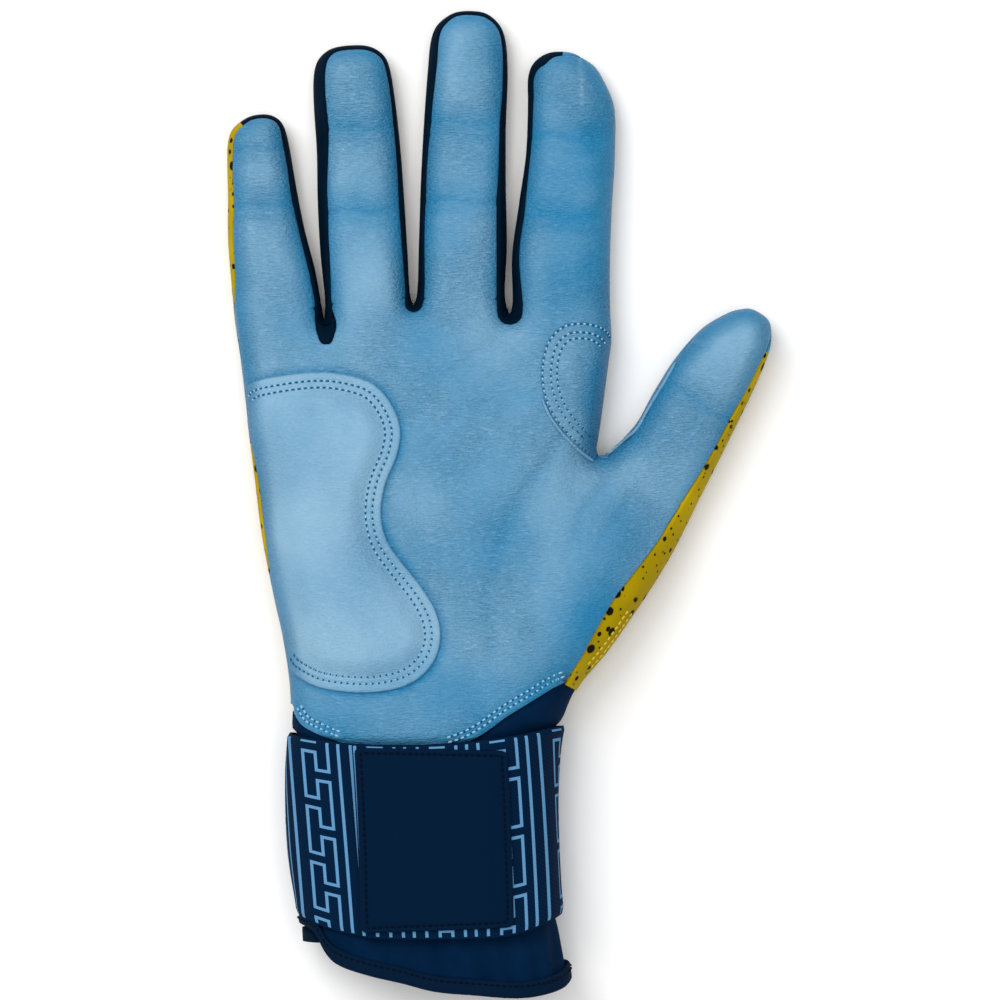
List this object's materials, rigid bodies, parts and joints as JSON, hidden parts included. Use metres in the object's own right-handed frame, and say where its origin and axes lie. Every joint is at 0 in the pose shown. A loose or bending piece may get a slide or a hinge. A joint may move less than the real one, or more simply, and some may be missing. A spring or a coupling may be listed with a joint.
{
  "type": "batting glove",
  "caption": "Right-hand batting glove of thin leather with a stretch cuff and a hook-and-loop wrist strap; its digits flex and the strap end peels open.",
  "frame": {"origin": "on the surface the glove lies on, under the middle of the glove", "axes": "+Z out of the palm (the glove lies on its back), +Y along the fingers, +X to the thumb side"},
  "size_m": [0.145, 0.2612, 0.0365],
  "materials": {
    "leather": "satin",
    "back_fabric": "matte",
    "stretch_fabric": "matte",
    "strap_elastic": "matte",
    "foam": "matte"
  },
  "bodies": {
    "hand": {"palm_leather": "leather", "hand_back": "back_fabric", "palm_gusset": "leather", "web_little_ring": "stretch_fabric", "web_ring_middle": "stretch_fabric", "web_middle_index": "stretch_fabric", "heel_overlay": "leather", "heel_foam": "foam", "crotch_overlay": "leather", "palm_welt": "leather", "cuff_sleeve": "stretch_fabric", "cuff_binding": "strap_elastic", "cuff_underlap": "stretch_fabric", "strap_band": "strap_elastic", "loop_pad": "strap_elastic"},
    "little_finger": {"little_front": "leather", "little_back": "back_fabric", "little_fourchette": "stretch_fabric"},
    "ring_finger": {"ring_front": "leather", "ring_back": "back_fabric", "ring_fourchette": "stretch_fabric"},
    "middle_finger": {"middle_front": "leather", "middle_back": "back_fabric", "middle_fourchette": "stretch_fabric"},
    "index_finger": {"index_front": "leather", "index_back": "back_fabric", "index_fourchette": "stretch_fabric", "index_gusset": "leather"},
    "thumb": {"thumb_front": "leather", "thumb_back": "back_fabric", "thumb_gusset": "leather", "thumb_welt": "leather"},
    "strap_flap": {"strap_end": "strap_elastic", "hook_pad": "strap_elastic", "strap_tab": "strap_elastic"}
  },
  "joints": [
    {"name": "little_flex", "type": "hinge", "parent": "hand", "child": "little_finger", "pos_m": [-0.05865, 0.05022, 0.018], "axis": [0.9936, 0.1132, 0], "range_deg": [0, 70]},
    {"name": "ring_flex", "type": "hinge", "parent": "hand", "child": "ring_finger", "pos_m": [-0.03513, 0.0535, 0.018], "axis": [0.998, 0.0628, 0], "range_deg": [0, 70]},
    {"name": "middle_flex", "type": "hinge", "parent": "hand", "child": "middle_finger", "pos_m": [-0.01023, 0.05397, 0.018], "axis": [0.9997, -0.0262, 0], "range_deg": [0, 70]},
    {"name": "index_flex", "type": "hinge", "parent": "hand", "child": "index_finger", "pos_m": [0.01642, 0.05186, 0.018], "axis": [0.9996, -0.0297, 0], "range_deg": [0, 70]},
    {"name": "thumb_flex", "type": "hinge", "parent": "hand", "child": "thumb", "pos_m": [0.03945, 0.00529, 0.0194], "axis": [0.8581, -0.5135, 0], "range_deg": [0, 60]},
    {"name": "strap_peel", "type": "hinge", "parent": "hand", "child": "strap_flap", "pos_m": [0.0064, -0.0888, 0.0366], "axis": [0, 1, 0], "range_deg": [0, 110]}
  ]
}
